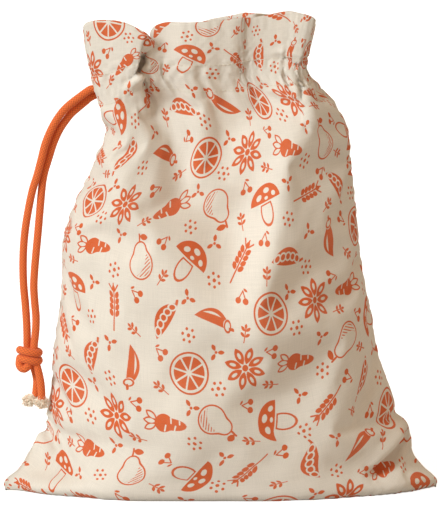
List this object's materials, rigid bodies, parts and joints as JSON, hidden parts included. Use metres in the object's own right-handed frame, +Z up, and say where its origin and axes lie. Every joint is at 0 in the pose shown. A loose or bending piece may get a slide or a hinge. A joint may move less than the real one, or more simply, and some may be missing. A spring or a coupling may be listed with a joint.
{
  "type": "cotton drawstring food bag",
  "caption": "Filled cotton bag for dry food, standing on its base, with corner ears, a drawn-in neck under a loose frill and a knotted cord hanging at the side.",
  "frame": {"origin": "on the floor under the middle of the bag, between the two corner tips", "axes": "+Z up, +X from the cord's side to the other side seam, the shown face looks along -Y"},
  "size_m": [0.2487, 0.121, 0.276],
  "materials": {
    "cotton_cloth": "unbleached plain-weave cotton with an orange print",
    "braided_cord": "matt braided cotton cord, rust orange",
    "frayed_ends": "loose undyed cotton fibres"
  },
  "bodies": {
    "root": {"bag": "cotton_cloth", "cord_outer": "braided_cord", "cord_inner": "braided_cord", "knot": "braided_cord", "tail_outer": "braided_cord", "tail_inner": "braided_cord", "tuft_outer": "frayed_ends", "tuft_inner": "frayed_ends"}
  },
  "joints": []
}
